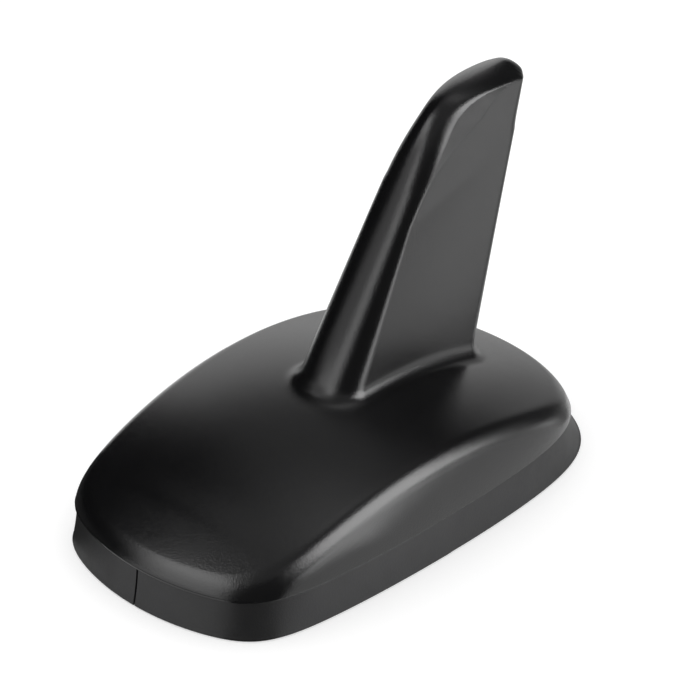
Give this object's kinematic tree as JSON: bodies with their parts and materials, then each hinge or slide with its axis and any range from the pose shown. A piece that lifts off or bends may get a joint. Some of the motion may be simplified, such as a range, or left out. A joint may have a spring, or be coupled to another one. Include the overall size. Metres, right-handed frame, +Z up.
{
  "type": "shark fin roof aerial",
  "caption": "Low arched cover with a swept-back fin in one satin black moulding, on a rubber skirt and a stick-on base plate, with aerial boards inside",
  "frame": {"origin": "on the roof surface, under the middle of the skirt's length and width", "axes": "X across the car, Y along it with the nose at -Y and the fin's tip at +Y, Z up from the roof"},
  "size_m": [0.0608, 0.104, 0.0726],
  "materials": {
    "cover_plastic": "satin, fine moulded grain",
    "skirt_rubber": "matt moulded rubber",
    "plate_plastic": "satin glass-filled plastic",
    "seal_silicone": "matt silicone",
    "pad_foam": "closed-cell foam tape",
    "screw_steel": "zinc-plated steel",
    "gland_rubber": "matt moulded rubber",
    "main_board_laminate": "glossy solder mask on glass laminate",
    "board_screw_steel": "zinc-plated steel",
    "fin_board_laminate": "glossy solder mask, raised copper line",
    "damper_foam": "open-cell foam",
    "coil_copper": "enamelled copper wire",
    "patch_ceramic": "fired ceramic with a silvered top",
    "patch_tape": "double-sided tape",
    "pin_brass": "tinned brass",
    "can_tinplate": "pressed tinplate",
    "chip_epoxy": "moulded epoxy",
    "filter_ceramic": "fired ceramic",
    "capacitor_ceramic": "ceramic with tinned ends",
    "choke_ferrite": "sintered ferrite",
    "clip_gilt": "gilt spring strip",
    "socket_gilt": "gilt brass"
  },
  "bodies": {
    "root": {"cover": "cover_plastic", "skirt": "skirt_rubber", "base_plate": "plate_plastic", "seal_cord": "seal_silicone", "adhesive_pad": "pad_foam", "cover_screws": "screw_steel", "lead_gland": "gland_rubber", "main_board": "main_board_laminate", "board_screws": "board_screw_steel", "fin_board": "fin_board_laminate", "fin_board_foam": "damper_foam", "loading_coil": "coil_copper", "patch_ceramic": "patch_ceramic", "patch_tape": "patch_tape", "patch_pin": "pin_brass", "shield_can": "can_tinplate", "amplifier_chip": "chip_epoxy", "filter_blocks": "filter_ceramic", "chip_capacitors": "capacitor_ceramic", "feed_choke": "choke_ferrite", "contact_clips": "clip_gilt", "coax_sockets": "socket_gilt"}
  },
  "joints": []
}
